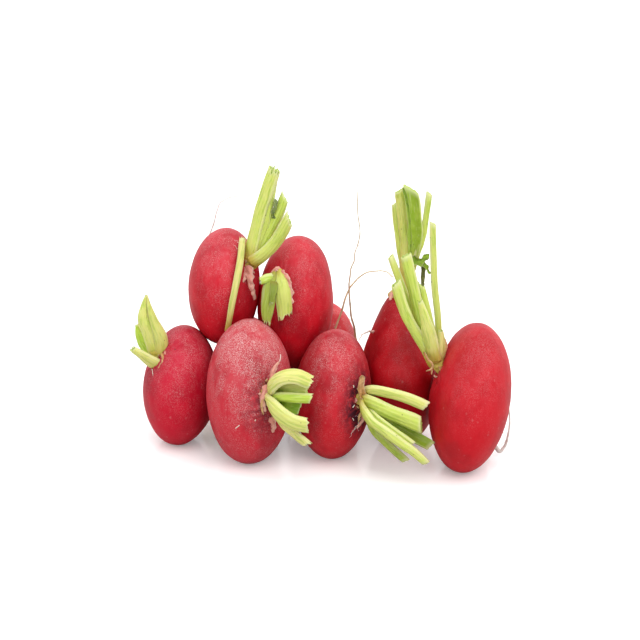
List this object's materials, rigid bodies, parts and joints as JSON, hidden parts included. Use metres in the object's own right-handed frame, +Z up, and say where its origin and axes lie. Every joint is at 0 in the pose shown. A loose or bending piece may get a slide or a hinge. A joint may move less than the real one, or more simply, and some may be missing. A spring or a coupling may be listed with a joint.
{
  "type": "bunch of radishes",
  "caption": "Loose pile of fresh oval radishes with trimmed green leaf stalks and long thin taproots, lying on a surface.",
  "frame": {"origin": "on the surface that the pile lies on, under the middle of the pile's box", "axes": "+Z up, +X along the pile's longest side, to the right as the picture shows it, +Y towards the back of the pile"},
  "size_m": [0.1006, 0.0773, 0.0788],
  "materials": {
    "radish_skin": "satin red vegetable skin with a fine pale bloom",
    "leaf_stalk": "moist pale green stalk with fine ribs",
    "dry_sheath": "dull papery sheath"
  },
  "bodies": {
    "root": {"radish_left": "radish_skin", "stalks_left": "leaf_stalk", "radish_front_left": "radish_skin", "stalks_front_left": "leaf_stalk", "radish_front_middle": "radish_skin", "stalks_front_middle": "leaf_stalk", "radish_right": "radish_skin", "stalks_right": "leaf_stalk", "radish_upper_left": "radish_skin", "stalks_upper_left": "leaf_stalk", "radish_upper_middle": "radish_skin", "stalks_upper_middle": "leaf_stalk", "radish_behind_right": "radish_skin", "stalks_behind_right": "leaf_stalk", "radish_behind_middle": "radish_skin", "stalks_behind_middle": "leaf_stalk", "radish_back_left": "radish_skin", "stalks_back_left": "leaf_stalk", "husk_upper_left": "dry_sheath", "husk_front_middle": "dry_sheath"}
  },
  "joints": []
}
